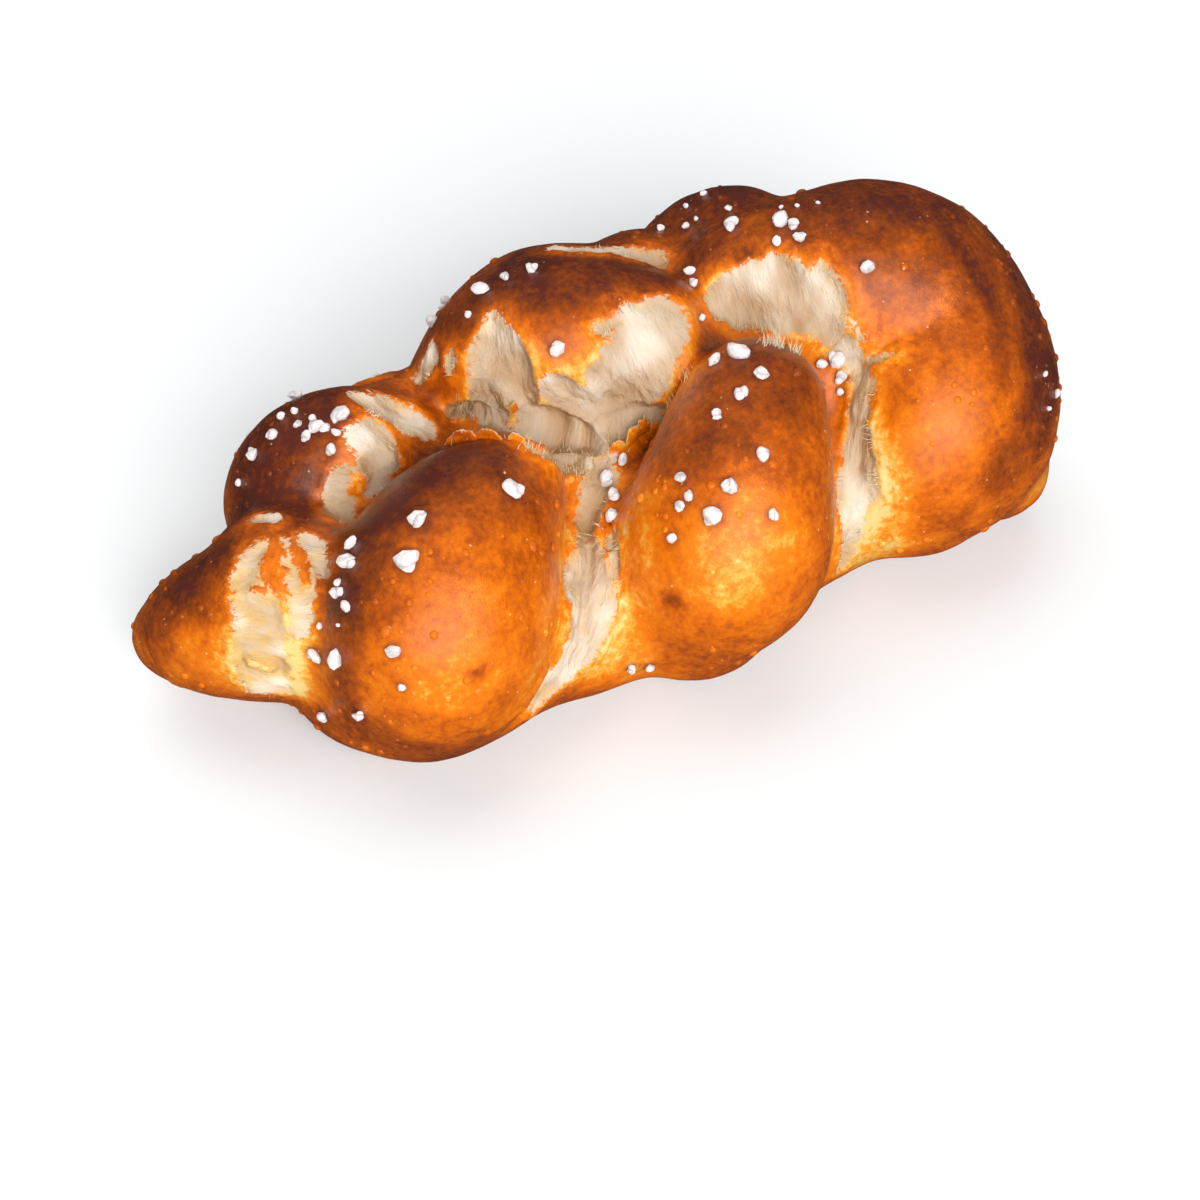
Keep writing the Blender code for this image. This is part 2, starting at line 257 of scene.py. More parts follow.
def loafField(points):  # gap to the loaf's skin, and the way out
    seam = loafLook["seam"]
    total = np.zeros(len(points))
    out = np.zeros_like(points)
    for rings in doughRings.values():
        gap, way = rollField(points, rings)
        weight = np.exp(np.clip(-gap / seam, -30, 30))
        total += weight
        out += weight[:, None] * way
    gap = -seam * np.log(total + 1e-20)
    out /= norm(out, axis=1)[:, None] + 1e-9
    soft = loafLook["baseSeam"]
    under = -points[:, 2]
    shares = np.exp(np.clip(np.stack([gap, under]) / soft, -30, 30))
    cut = soft * np.log(shares.sum(0))
    share = (shares[1] / shares.sum(0))[:, None]
    out = out * (1 - share) + np.array([0, 0, -1.]) * share
    out /= norm(out, axis=1)[:, None] + 1e-9
    return cut, out


def settle(points, rounds=6):  # moves the points onto the skin of the dough
    for _ in range(rounds):
        gap, out = loafField(points)
        points = points - out * np.clip(gap, -1.5, 1.5)[:, None] * .9
    return points


def onSkin(knots):  # rings along the knots, moved onto the skin of the dough
    rings = smoothPath(knots, 2)
    rings[:, :3] = settle(rings[:, :3])
    return rings


tearRings = {name: onSkin(tear[0]) for name, tear in tears.items()}
flakeRings = {name: onSkin(knots) for name, knots in flakes.items()}


def hashed(cells, seed):  # one repeatable value from -1 to 1 for each cell
    mixed = cells[:, 0] * 73856093 ^ cells[:, 1] * 19349663 ^ cells[:, 2] * 83492791 ^ (seed * 40503 + 977)
    mixed = (mixed ^ (mixed >> 13)) * 1274126177 & 0x7FFFFFFF
    mixed = (mixed ^ (mixed >> 11)) * 668265263 & 0x7FFFFFFF
    return (mixed >> 8 & 0xFFFF) / 32767.5 - 1


def lumps(points, size, seed, octaves=1):  # smooth noise from -1 to 1, with lumps of that size
    turn = np.array([[.36, .48, -.8], [-.8, .6, 0], [.48, .64, .6]])
    value = np.zeros(len(points))
    gain, whole = 1., 0.
    place = points @ turn / size + seed * 7.31
    for octave in range(octaves):
        cell = np.floor(place).astype(np.int64)
        part = place - cell
        ease = part**3 * (part * (part * 6 - 15) + 10)
        for corner in product((0, 1), repeat=3):
            share = np.prod(np.where(corner, ease, 1 - ease), axis=1)
            value += gain * share * hashed(cell + corner, seed + octave)
        whole += gain
        gain *= .5
        place = place @ turn * 2.03
    return value / whole


def wavy(points, look, seed, octaves=1):  # lumps with their height and size as one pair
    height, size = look
    return height * lumps(points, size, seed, octaves)


def eased(value, low, high):
    share = np.clip((value - low) / (high - low), 0, 1)
    return share * share * (3 - 2 * share)


def tearField(points):  # how far inside the crumb, place along its fibres, way to its middle, gold, depth
    tear = np.full(len(points), -12.)
    pulls = np.tile([0., 0., -1.], (len(points), 1))
    inward = np.zeros_like(points)
    shares = np.full(len(points), 1e-9)
    golden = np.zeros(len(points))
    depth = np.zeros(len(points))
    for name, rings in tearRings.items():
        gap, way = rollField(points, rings)
        pull, gold, deep = tears[name][1:]
        mine = -gap > tear
        tear[mine] = -gap[mine]
        pulls[mine] = np.array(pull) / norm(pull)
        inward[mine] = -way[mine]
        share = np.exp(-np.clip(gap, -2, 20) / 1.5)
        shares += share
        golden += share * gold
        depth += share * deep
    bent = points + np.stack([wavy(points, loafLook["wander"], seed) for seed in (31, 32, 33)], axis=1)
    squeezed = bent - loafLook["stretch"] * (bent * pulls).sum(1)[:, None] * pulls
    frayed = tear + wavy(points, loafLook["fray"], 3, 2)
    frayed += wavy(squeezed * .6 + points * .4, loafLook["fineFray"], 5, 3)
    for rings in flakeRings.values():
        gap = rollField(points, rings)[0]
        frayed = np.minimum(frayed, gap + wavy(points, loafLook["flakeFray"], 9))
    return frayed, squeezed, inward, golden / shares, depth / shares


def spread(points, table):  # sum of the patches in a table, each fading out around its line
    total = np.zeros(len(points))
    for knots, change in table.values():
        rings = onSkin(knots)
        gap = rollField(points, rings)[0]
        total += change * np.exp(-(np.maximum(gap, 0) / (.8 + rings[:, 3].mean())) ** 2)
    return total


def foldField(points):  # height of the ridges and creases
    height = np.zeros(len(points))
    for knots, rise in folds.values():
        gap = rollField(points, onSkin(knots))[0]
        height += rise * np.exp(-(np.maximum(gap, 0) / loafLook["foldWidth"]) ** 2)
    return height


bakeLook = {
    "base": .5,
    "up": .21,             # darker on top
    "down": .03,
    "litByKey": -.11,         # paler on the faces toward the key light: a painted light
    # the next entry darkens the faces turned away from the key light: a painted shade
    "back": .08,
    "beside": -.28,        # paler beside a tear
    "broad": (.12, 22),    # strength and size of the broad patches
    "fine": (.07, 7),
    # the last entry is the way to the key light, for the painted light and shade
    "toKeyLight": (-.35, -.72, .6),
}


def bakeWithPaintedLight(points, normals, tear):  # how dark the crust is baked, from 0 to 1, with a painted light on the faces toward the key light and a painted shade on those turned away from it
    look = bakeLook
    up = eased(normals[:, 2], 0, 1)
    down = eased(-normals[:, 2], -.1, .8)
    litByKey = eased(normals @ np.array(look["toKeyLight"]), .7, 1)
    back = eased(normals[:, 1] * .6 + normals[:, 0] * .5, -.2, .9)
    bake = look["base"] + look["up"] * up + look["down"] * down + look["litByKey"] * litByKey + look["back"] * back
    bake += look["beside"] * eased(tear, -5, -.3)
    bake += wavy(points, look["broad"], 11, 2)
    bake += wavy(points, look["fine"], 12, 2)
    bake += spread(points, tones)
    return np.clip(bake, 0, 1)


def meshArrays(mesh):
    points = np.empty(len(mesh.vertices) * 3)
    mesh.vertices.foreach_get("co", points)
    normals = np.empty(len(mesh.vertices) * 3)
    mesh.vertices.foreach_get("normal", normals)
    return points.reshape(-1, 3) / mm, normals.reshape(-1, 3)


def setPoints(mesh, points):
    mesh.vertices.foreach_set("co", (points * mm).ravel())
    mesh.update()


def setValues(mesh, **columns):  # stores one number or one vector for each point
    for name, values in columns.items():
        kind, key = ("FLOAT_VECTOR", "vector") if values.ndim == 2 else ("FLOAT", "value")
        column = mesh.attributes.new(name, kind, "POINT")
        column.data.foreach_set(key, values.astype(np.float32).ravel())


def readValues(mesh, name):
    values = np.empty(len(mesh.vertices))
    mesh.attributes[name].data.foreach_get("value", values)
    return values


def addObject(name, data):
    obj = bpy.data.objects.new(name, data)
    bpy.context.scene.collection.objects.link(obj)
    return obj


def addPiece(name, mesh, finish):
    obj = addObject(name, mesh)
    mesh.materials.clear()
    mesh.materials.append(finish)
    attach(obj, "root")
    return obj


def remeshed(source, size):
    obj = addObject("blank", source)
    fuse = obj.modifiers.new("fuse", "REMESH")
    fuse.mode = "VOXEL"
    fuse.voxel_size = size * mm
    mesh = bpy.data.meshes.new_from_object(obj.evaluated_get(bpy.context.evaluated_depsgraph_get()))
    bpy.data.objects.remove(obj)
    return mesh


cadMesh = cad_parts["loaf"].data
low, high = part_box("loaf")
doughLow = np.array([(roll[:, :3] - roll[:, 3:]).min(0) for roll in doughRings.values()]).min(0)
doughHigh = np.array([(roll[:, :3] + roll[:, 3:]).max(0) for roll in doughRings.values()]).max(0)
shift = np.array((low + high) / 2) / mm - (doughLow + doughHigh) / 2
shift[2] = 0             # the tables stand on the same base as the CAD model


def refine(mesh, within):
    tear = tearField(meshArrays(mesh)[0] - shift)[0]
    fine = tear > -within
    shape = bmesh.new()
    shape.from_mesh(mesh)
    shape.verts.ensure_lookup_table()
    edges = [edge for edge in shape.edges if all(fine[vert.index] for vert in edge.verts)]
    bmesh.ops.subdivide_edges(shape, edges=edges, cuts=1, use_grid_fill=True)
    shape.to_mesh(mesh)
    shape.free()
    points = settle(meshArrays(mesh)[0] - shift, 2)
    setPoints(mesh, points + shift)


def soften(mesh, rounds):  # evens out the edges that the bends of the rolls leave
    shape = bmesh.new()
    shape.from_mesh(mesh)
    for _ in range(rounds):
        bmesh.ops.smooth_vert(shape, verts=shape.verts, factor=.5,
                              use_axis_x=True, use_axis_y=True, use_axis_z=True)
    shape.to_mesh(mesh)
    shape.free()


def makeLoaf():
    mesh = remeshed(cadMesh.copy(), loafLook["voxel"])
    setPoints(mesh, settle(meshArrays(mesh)[0] - shift) + shift)
    for within in loafLook["fineWithin"]:
        refine(mesh, within)
    soften(mesh, loafLook["soften"])
    print("loaf mesh", len(mesh.vertices), "points")

    points = meshArrays(mesh)[0] - shift
    out = loafField(points)[1]
    tear, squeezed, inward, golden, depth = tearField(points)
    inside = eased(tear, -.3, 1.6)
    rise, broad, small = loafLook["lumps"]
    relief = rise * (lumps(points, broad, 1, 2) + .35 * lumps(points, small, 2, 2)) * (1 - .5 * inside)
    relief -= depth * (.5 * inside + .5 * eased(tear, -.3, 4))
    curl, peak, wide = loafLook["lip"]
    relief += curl * np.exp(-((tear + peak) / wide) ** 2) * (1 + lumps(points, 2.5, 27, 2))
    tuftHeight, tuftSize = loafLook["tufts"]
    tufts = lumps(squeezed * .5 + points * .5, tuftSize, 23, 2)
    fibreHeight, fibreSize = loafLook["fibres"]
    fibres = 1 - 2 * np.abs(lumps(squeezed, fibreSize, 21, 3))
    drapeHeight, drapeSize = loafLook["drape"]
    draped = lumps(squeezed * .4 + points * .6, drapeSize, 29, 2)
    relief += inside * drapeHeight * draped
    relief += inside * (tuftHeight * tufts + fibreHeight * fibres)
    relief += foldField(points)
    standing = eased(points[:, 2], .2, 5)
    points = points + out * (relief * standing)[:, None]
    points[:, 2] = np.maximum(points[:, 2], 0)
    setPoints(mesh, points + shift)

    points, normals = meshArrays(mesh)
    bake = bakeWithPaintedLight(points - shift, normals, tear)
    over = loafLook["openOver"]
    # painted shade on crumb that dough closes in over, less on the faces toward the key light
    occlusionShade = 1 - eased(loafField(points - shift + out * over)[0] / over, .3, 1)
    wave = tufts + .6 * draped
    occlusionShade *= 1 - .5 * eased(normals @ np.array(bakeLook["toKeyLight"]), .5, .9)
    # painted shade in the hollows of the crumb's relief and painted light on its raised tufts; a shade below
    # zero is painted light
    shade = occlusionShade + .45 * eased(-wave, -.1, .7) - .7 * eased(wave, -.2, .6) * (1 - occlusionShade)
    setValues(mesh, tear=tear, bake=bake, grain=squeezed, gold=golden, shade=shade)
    mesh.shade_smooth()
    return mesh, inward


class Wire:  # one socket of a finish, so that its maths reads as Python
    def __init__(self, finish, socket):
        self.finish = finish
        self.socket = socket

    def maths(self, operation, first, second):
        return self.finish.node("ShaderNodeMath", {"operation": operation}, {0: first, 1: second})

    def __add__(self, other):
        return self.maths("ADD", self, other)

    def __rsub__(self, other):
        return self.maths("SUBTRACT", other, self)

    def __mul__(self, other):
        return self.maths("MULTIPLY", self, other)

    __rmul__ = __mul__

    def eased(self, low, high):
        return self.finish.node("ShaderNodeMapRange", {"interpolation_type": "SMOOTHSTEP"},
                                {"Value": self, "From Min": low, "From Max": high})


class Finish:  # one material on a Principled shader
    def __init__(self, name, constants):
        self.material = bpy.data.materials.new(name)
        self.material.use_nodes = True
        self.tree = self.material.node_tree
        self.shader = self.tree.nodes["Principled BSDF"]
        for key, value in constants.items():
            self.shader.inputs[key].default_value = value

    def node(self, kind, settings=None, sockets=None, output=0):
        made = self.tree.nodes.new(kind)
        for key, value in (settings or {}).items():
            if key == "stops":
                ramp = made.color_ramp.elements
                while len(ramp) < len(value):
                    ramp.new(1)
                for stop, (place, colour) in zip(ramp, value):
                    stop.position = place
                    stop.color = (*colour, 1)
            else:
                setattr(made, key, value)
        for key, value in (sockets or {}).items():
            if isinstance(value, Wire):
                self.tree.links.new(value.socket, made.inputs[key])
            else:
                made.inputs[key].default_value = value
        return Wire(self, made.outputs[output])

    def attribute(self, name, output="Fac"):
        return self.node("ShaderNodeAttribute", {"attribute_name": name}, output=output)

    def noise(self, place, size, detail=2, roughness=.5):  # about -1 to 1
        return self.node("ShaderNodeTexNoise", {"normalize": False},
                         {"Vector": place, "Scale": 1 / size, "Detail": detail, "Roughness": roughness})

    def wavy(self, place, look, detail=2, roughness=.5):
        strength, size = look
        return self.noise(place, size, detail, roughness) * strength

    def spots(self, place, size):
        return self.node("ShaderNodeTexVoronoi", {}, {"Vector": place, "Scale": 1 / size}, "Distance")

    def blend(self, share, first, second):
        sockets = {0: share, 6: first if isinstance(first, Wire) else (*first, 1),
                   7: second if isinstance(second, Wire) else (*second, 1)}
        return self.node("ShaderNodeMix", {"data_type": "RGBA"}, sockets, 2)

    def place(self):  # where the surface is, in millimetres
        where = self.node("ShaderNodeTexCoord", output="Object")
        return self.node("ShaderNodeVectorMath", {"operation": "SCALE"}, {0: where, "Scale": 1 / mm})

    def bump(self, height, distance, strength):
        sockets = {"Height": height, "Distance": distance * mm, "Strength": strength}
        return self.node("ShaderNodeBump", {}, sockets)

    def feed(self, **wires):
        for key, wire in wires.items():
            self.tree.links.new(wire.socket, self.shader.inputs[key.replace("_", " ")])


crustLook = {
    # colour of the crust by how dark it is baked; that value also holds the painted light and shade of the
    # way the crust faces
    "stops": [(0, (.627, .44, .16)), (.12, (.627, .293, .033)), (.26, (.613, .157, .003)),
              (.42, (.507, .107, .001)), (.58, (.333, .061, .002)), (.74, (.207, .038, .002)),
              (.88, (.127, .023, .004)), (1, (.073, .013, .007))],
    "saltRing": (.107, .019, .008),
    "speck": (.633, .5, .333),
    "crumb": (.54, .43, .32),
    # crumbLit, crumbShade and the deep crumb colour are the crumb in painted light and painted shade
    "crumbLit": (.73, .65, .55),
    "crumbShade": (.54, .40, .27),
    "crumbGold": (.64, .387, .1),
    "crumbDeepShade": (.387, .227, .107),
    "mottle": (.13, 5),        # how much darker or paler the patches are, and their size
    "fineMottle": (.11, 1.3),
    "streaks": (.12, .8),      # the same along the fibres, only near a tear
    "speckSize": 2.6,          # how far apart the pale specks lie
    "charSize": 1.9,           # how far apart the dark ones lie
    "pores": (.11, .28),       # relief and size of the pores of the skin
    "dimples": (.16, 2.2),
    "crustRough": .24,
    "roughSpread": (.04, 2.5),
    "crumbRough": .9,
}


def crustFinish():
    look = crustLook
    paint = Finish("browned_crust", {"Specular IOR Level": .5, "Specular Tint": (1, .9, .8, 1),
                                     "Subsurface Weight": .12, "Subsurface Radius": (1, .5, .25),
                                     "Subsurface Scale": .0008})
    place = paint.place()
    grain = paint.attribute("grain", "Vector")
    tear = paint.attribute("tear")
    fray = tear + paint.noise(grain, .5, 3, .6) * .35 + paint.noise(place, .8, 4, .6) * .7
    crumb = fray.eased(-.25, .3)

    mottle = paint.wavy(place, look["mottle"], 4, .6) + paint.wavy(place, look["fineMottle"], 5, .7)
    streaks = paint.wavy(grain, look["streaks"], 3) * tear.eased(-7, -.5)
    bake = paint.attribute("bake") + mottle + streaks
    crust = paint.node("ShaderNodeValToRGB", {"stops": look["stops"]}, {0: bake}, "Color")
    # a dark ring where salt touches the crust: partly its own colour, partly a painted contact shade
    crust = paint.blend(paint.attribute("salted") * .5, crust, look["saltRing"])
    speck = 1 - paint.spots(place, look["speckSize"]).eased(.05, .09)
    crust = paint.blend(speck * paint.noise(place, 9).eased(-.2, .4) * .6, crust, look["speck"])
    char = 1 - paint.spots(grain, look["charSize"]).eased(.04, .11)
    crust = paint.blend(char * paint.noise(place, 6).eased(-.3, .3) * .5, crust, look["saltRing"])

    # painted shade in the hollows between the fibres
    hollow = paint.noise(grain, .8, 4, .6).eased(-.6, .3)
    crumbColour = paint.blend(hollow, look["crumbShade"], look["crumb"])
    stain = paint.noise(place, 3.5, 3, .6) * .5 + paint.attribute("gold") * .8 + fray.eased(2.2, 0) * .35
    crumbColour = paint.blend(stain.eased(.15, 1.3) * .9, crumbColour, look["crumbGold"])
    # painted shade where the shade value is above zero, painted light where it is below
    crumbColour = paint.blend(paint.attribute("shade"), crumbColour, look["crumbDeepShade"])
    crumbColour = paint.blend(paint.attribute("shade") * -1, crumbColour, look["crumbLit"])
    colour = paint.blend(crumb, crust, crumbColour)

    skin = paint.wavy(place, look["pores"], 3, .7) + paint.wavy(place, look["dimples"], 3, .6)
    fibre = paint.noise(grain, .4, 4, .7)
    height = skin * (1 - crumb) + fibre * crumb
    normal = paint.bump(height, .3, .6)
    crustRough = paint.wavy(place, look["roughSpread"], 3) + look["crustRough"]
    rough = crustRough * (1 - crumb) + crumb * look["crumbRough"]
    paint.feed(Base_Color=colour, Roughness=rough, Normal=normal, Metallic=.03 * (1 - crumb))
    return paint.material


loafMesh, loafInward = makeLoaf()
crust = crustFinish()
loaf = addPiece("loaf_crust", loafMesh, crust)
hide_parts("loaf")
crustTree = BVHTree.FromObject(loaf, bpy.context.evaluated_depsgraph_get())
print("loaf shaped and finished")

# Salt: each grain's place as x, y, height, and its width, by the roll that it stuck to.
saltLook = {
    "seed": 7,
    "sunk": .22,           # share of a grain's width that its middle stands over the crust
    "swell": 1.05,         # how much wider the grains are than the tables say
    "flatness": ((.85, .6, .5), (1.15, .9, .8)),   # least and most width, depth and height over size
    "corners": 15,
    "worn": (.78, 1.14),   # how far in and out its corners lie
    "lean": .25,
    "twinOver": 2,         # a grain wider than this is two crystals grown together
    "twinSize": .8,
    "twinAside": (.22, .1),
    "grains": {
        "backLeft": [(-44, 18, 43, 2.2), (-42, 17, 44, 1.6), (-42, 15, 43, 2.6), (-44, 15, 42, 2),
                     (-41, 14, 43, 2.2), (-40, 12, 43, 1.8), (-38, 14, 44, 3.4), (-42, 11, 41, 2.2),
                     (-48, 20, 41, 2.2), (-52, 21, 38, 2.8), (-43, 21, 43, 1.6), (-45, 22, 42, 1.8),
                     (-56, 22, 33, 1.4)],
        "crown": [(-6, 20, 52, 3), (-2, 19, 54, 2.2), (2, 17, 55, 2.3), (-10, 18, 50, 1.8), (-3, 2, 50, 3),
                  (28, 6, 50, 1.9), (26, 3, 50, 2), (22, -5, 50, 1.5)],
        "frontMiddle": [(16, -17, 51, 2.6), (19, -19, 52, 3.6), (19, -25, 53, 2.8), (14, -26, 52, 2.4),
                        (9, -26, 50, 2.2), (11, -36, 47, 2.6), (0, -30, 43, 2.3), (4, -37, 45, 3.4),
                        (-1, -33, 42, 2), (-3, -33, 41, 2), (0, -38, 41, 3.8), (8, -43, 41, 2.2),
                        (-6, -35, 37, 2.1), (-13, -34, 10, 2), (-10, -35, 9, 2.2)],
        "frontSplit": [(1, -12, 34, 2), (-3, -12, 32, 3), (-4, -16, 31, 2.5), (-6, -19, 30, 2.8)],
        "shoulder": [(40, -16, 39, 2.2), (42, -17, 40, 3.4), (42, -19, 37, 2.4), (41, -20, 35, 1.7),
                     (50, -14, 54, 2.8), (43, 1, 58, 3.8), (44, -1, 58, 2.4), (43, -4, 57, 2.6),
                     (40, -2, 56, 1.7), (37, 7, 55, 2.9), (48, 3, 58, 1), (46, 5, 58, .9), (51, 1, 59, .9)],
        "backRight": [(33, 22, 49, 1.6), (35, 18, 50, 1.6), (37, 17, 51, 1.2), (38, 22, 51, 1.6),
                      (41, 13, 54, 1.6), (42, 21, 51, 1.3)],
        "shoulderUnder": [(73, -38, 36, 1.2), (75, -39, 31, 1.7), (71, -41, 31, 1.2)],
        "frontLeft": [(-25, -18, 45, 4), (-42, -17, 46, 4), (-47, -21, 44, 4.4), (-53, -12, 40, 3),
                      (-51, -9, 41, 2.4), (-56, -13, 38, 1.7), (-57, -14, 37, 2.6), (-57, -18, 37, 2.3),
                      (-60, -14, 31, 1.6), (-59, -18, 34, 1), (-62, -15, 26, 2.8), (-60, -20, 29, 3.2),
                      (-54, -28, 34, 2.4), (-55, -31, 29, 1.6), (-62, -16, 13, 2.3), (-60, -25, 20, 2.3)],
    },
    # middle of a strewn patch, how many grains, and how far they scatter
    "strewn": [(-2, 40, 36, 8, 9), (-40, 34, 24, 7, 8), (44, 40, 30, 7, 9), (78, 4, 34, 7, 9),
               (66, 18, 40, 4, 6)],
    "strewnSize": (1.2, 3.4),
    "dull": (.60, .54, .54),
    "clear": (.68, .64, .64),
}


def grainShape(rng, size):  # a worn, lumpy chunk, as the convex hull of a few points with its edges rounded
    ball = bmesh.new()
    stretch = rng.uniform(*saltLook["flatness"])
    for way in rng.normal(size=(saltLook["corners"], 3)):
        ball.verts.new(way / norm(way) * stretch * size / 2 * rng.uniform(*saltLook["worn"]))
    hull = bmesh.ops.convex_hull(ball, input=ball.verts)
    bmesh.ops.delete(ball, geom=hull["geom_interior"], context="VERTS")
    bmesh.ops.subdivide_edges(ball, edges=ball.edges, cuts=1, smooth=.45, use_grid_fill=True)
    mesh = bpy.data.meshes.new("grain")
    ball.to_mesh(mesh)
    ball.free()
    return mesh


def makeSalt():
    rng = np.random.default_rng(saltLook["seed"])
    aims = [grain for grains in saltLook["grains"].values() for grain in grains]
    for x, y, z, count, scatter in saltLook["strewn"]:
        for _ in range(count):
            aims.append((*(np.array([x, y, z]) + rng.normal(size=3) * scatter),
                         rng.uniform(*saltLook["strewnSize"])))
    heap = bmesh.new()
    spots = []
    wide, tall = saltLook["twinAside"]
    for *aim, size in aims:
        size *= saltLook["swell"]
        where, normal = crustTree.find_nearest(Vector((np.array(aim) + shift) * mm))[:2]
        spots.append((*(np.array(where) / mm), size))
        for part in range(2 if size > saltLook["twinOver"] else 1):
            own = size * (saltLook["twinSize"] if part else 1)
            mesh = grainShape(rng, own)
            lean = Vector(rng.normal(size=3) * saltLook["lean"]) + normal
            turn = lean.to_track_quat("Z", "Y") @ Vector((*rng.normal(size=2), 0)).to_track_quat("X", "Z")
            aside = turn @ Vector((*rng.uniform(-wide, wide, 2), rng.uniform(-tall, tall))) * size * part
            before = len(heap.verts)
            heap.from_mesh(mesh)
            heap.verts.ensure_lookup_table()
            for vert in heap.verts[before:]:
                vert.co = where + (normal * own * saltLook["sunk"] + aside + turn @ vert.co) * mm
            bpy.data.meshes.remove(mesh)
    mesh = bpy.data.meshes.new("salt_grains")
    heap.to_mesh(mesh)
    heap.free()
    return mesh, np.array(spots)


def saltFinish():
    # the salt glows faintly: a painted light that lifts its shaded sides
    paint = Finish("coarse_salt", {"Roughness": .45, "Emission Strength": .03, "Subsurface Weight": .5,
                                   "Subsurface Radius": (1, .85, .85), "Subsurface Scale": .0018})
    place = paint.place()
    cloudy = paint.noise(place, .9, 3).eased(-.6, .6)
    colour = paint.blend(cloudy, saltLook["dull"], saltLook["clear"])
    paint.feed(Base_Color=colour, Normal=paint.bump(paint.noise(place, .3, 3), .15, .6))
    return paint.material


saltMesh, saltSpots = makeSalt()
addPiece("salt_grains", saltMesh, saltFinish())
loafPoints, loafNormals = meshArrays(loafMesh)
salted = np.zeros(len(loafPoints))
for *where, size in saltSpots:   # the crust is darker where it touches salt: partly its own colour, partly a painted contact shade
    far = norm(loafPoints - where, axis=1)
    salted = np.maximum(salted, 1 - eased(far, size * .4, size * .4 + 1))
setValues(loafMesh, salted=salted)
print("salt", len(saltSpots), "grains")

# Blisters: low domes of the same crust, which the lye raised.
blisterLook = {
    "seed": 3,
    "count": 330,
    "size": (.8, 2.0),     # widths
    "height": .26,         # height over width
    "paler": .06,          # how much lighter they bake than the crust around them
    "sides": 12,
    "rings": 4,
}


def pickPoints(rng, fits, grouping, count):  # points of the loaf that fit, in groups and clear of the floor
    fits = fits & (loafPoints[:, 2] > 6) & (grouping > rng.random(len(loafPoints)))
    return rng.choice(np.nonzero(fits)[0], count, replace=False)


def makeBlisters():
    rng = np.random.default_rng(blisterLook["seed"])
    bake = readValues(loafMesh, "bake")
    grouping = eased(lumps(loafPoints, 14, 41), -.5, .5)
    fits = (readValues(loafMesh, "tear") < -3.5) & (salted < .02)
    points, faces, bakes = [], [], []
    sides, rings = blisterLook["sides"], blisterLook["rings"]
    for index in pickPoints(rng, fits, grouping, blisterLook["count"]):
        normal = Vector(loafNormals[index])
        across = normal.orthogonal().normalized()
        along = normal.cross(across)
        size = blisterLook["size"][0] + np.ptp(blisterLook["size"]) * rng.random() ** 2
        start = len(points)
        for ring in range(rings):
            slope = ring / rings * np.pi / 2
            rise = (np.sin(slope) * 1.3 - .3) * size * blisterLook["height"]
            for side in range(sides):
                turn = side / sides * 2 * np.pi
                flat = (across * np.cos(turn) + along * np.sin(turn)) * np.cos(slope) * size / 2
                points.append(loafPoints[index] + flat + normal * rise)
            if ring:
                for side in range(sides):
                    ahead = (side + 1) % sides
                    base = start + (ring - 1) * sides
                    faces.append((base + side, base + ahead, base + ahead + sides, base + side + sides))
        points.append(loafPoints[index] + normal * size * blisterLook["height"])
        last = start + (rings - 1) * sides
        faces += [(last + side, last + (side + 1) % sides, len(points) - 1) for side in range(sides)]
        bakes += [bake[index] - blisterLook["paler"]] * (rings * sides + 1)
    mesh = bpy.data.meshes.new("crust_blisters")
    mesh.from_pydata(np.array(points) * mm, [], faces)
    setValues(mesh, bake=np.array(bakes), tear=np.full(len(points), -9.))
    mesh.shade_smooth()
    return mesh


addPiece("crust_blisters", makeBlisters(), crust)
print("blisters")

# Fibres: fine strands of crumb that stand up along the torn rims.
fibreLook = {
    "seed": 11,
    "count": 900,
    "length": (.5, 2.4),
    "width": .16,
    "rim": .45,            # how near the edge of a tear they stand
    "knots": 5,
    "dark": (.64, .44, .18),
    "pale": (.66, .58, .45),
    # Upright tufts: x, y, height, how far they are strewn, how many strands and how long.
    "tufts": [(25, -19, 53, .8, 20, 3), (27, -20, 53, .8, 26, 4), (30, -21, 51, .8, 20, 3),
              (-22, 1, 43, 1.5, 16, 2.5), (-16, -9, 43, 1.5, 30, 2), (-10, -5, 35, 2, 30, 2),
              (-6, -7, 33, 2.5, 60, 2.2), (2, -8, 35, 1.5, 20, 2.4), (-17, 12, 36, .5, 8, 4),
              (-11, 7, 38, .8, 8, 3), (13, -11, 47, 1.2, 24, 2), (10, -11, 42, 1.5, 24, 2)],
}


def strand(points, faces, foot, way, curl, length):  # a tapering strand of three sides
    across = way.orthogonal().normalized()
    along = way.cross(across)
    start = len(points)
    knots = fibreLook["knots"]
    for knot in range(knots):
        share = knot / knots
        middle = foot + (way * share + curl * share ** 2 * .5) * length
        wide = fibreLook["width"] / 2 * (1 - share)
        for turn in (0, 2 * np.pi / 3, 4 * np.pi / 3):
            points.append(middle + (across * np.cos(turn) + along * np.sin(turn)) * wide)
        if knot:
            base = start + (knot - 1) * 3
            for side, ahead in ((0, 1), (1, 2), (2, 0)):
                faces.append((base + side, base + ahead, base + ahead + 3, base + side + 3))
    points.append(foot + (way + curl * .5) * length)
    last = start + (knots - 1) * 3
    faces += [(last + side, last + (side + 1) % 3, len(points) - 1) for side in range(3)]
    faces.append((start + 2, start + 1, start))


